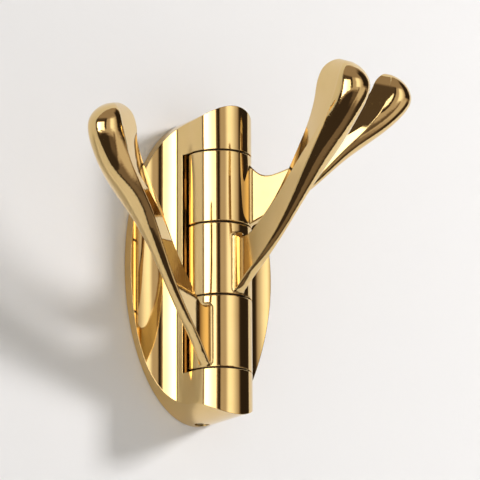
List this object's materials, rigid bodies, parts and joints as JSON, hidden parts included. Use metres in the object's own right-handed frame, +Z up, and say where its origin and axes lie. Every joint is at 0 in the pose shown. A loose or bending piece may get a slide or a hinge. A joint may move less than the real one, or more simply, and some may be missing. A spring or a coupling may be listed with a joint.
{
  "type": "triple swivel coat hook",
  "caption": "Polished gold wall hook with three swivelling arms that turn on one upright pin in an oval base.",
  "frame": {"origin": "centre of the back face, on the wall plane, halfway up the oval base", "axes": "+Z up, +Y into the wall, -Y out into the room, +X to the right seen from the room"},
  "size_m": [0.1016, 0.0761, 0.0935],
  "materials": {
    "gold": "mirror polished gold plate",
    "steel": "zinc plated",
    "dark_steel": "black oxide",
    "nylon": "moulded, dark"
  },
  "bodies": {
    "base": {"base_casting": "gold", "wall_plate": "steel", "grub_screw": "dark_steel", "pivot_pin": "steel", "friction_washer_1": "nylon", "friction_washer_2": "nylon", "friction_washer_3": "nylon", "friction_washer_4": "nylon"},
    "bottom": {"bottom_arm": "gold"},
    "middle": {"middle_arm": "gold"},
    "top": {"top_arm": "gold"}
  },
  "joints": [
    {"name": "bottom_swivel", "type": "hinge", "parent": "base", "child": "bottom", "pos_m": [0, -0.0124, -0.02], "axis": [0, 0, 1], "range_deg": [-29, 143]},
    {"name": "middle_swivel", "type": "hinge", "parent": "base", "child": "middle", "pos_m": [0, -0.0124, 0], "axis": [0, 0, 1], "range_deg": [-90, 14]},
    {"name": "top_swivel", "type": "hinge", "parent": "base", "child": "top", "pos_m": [0, -0.0124, 0.02], "axis": [0, 0, 1], "range_deg": [-16, 38]}
  ]
}
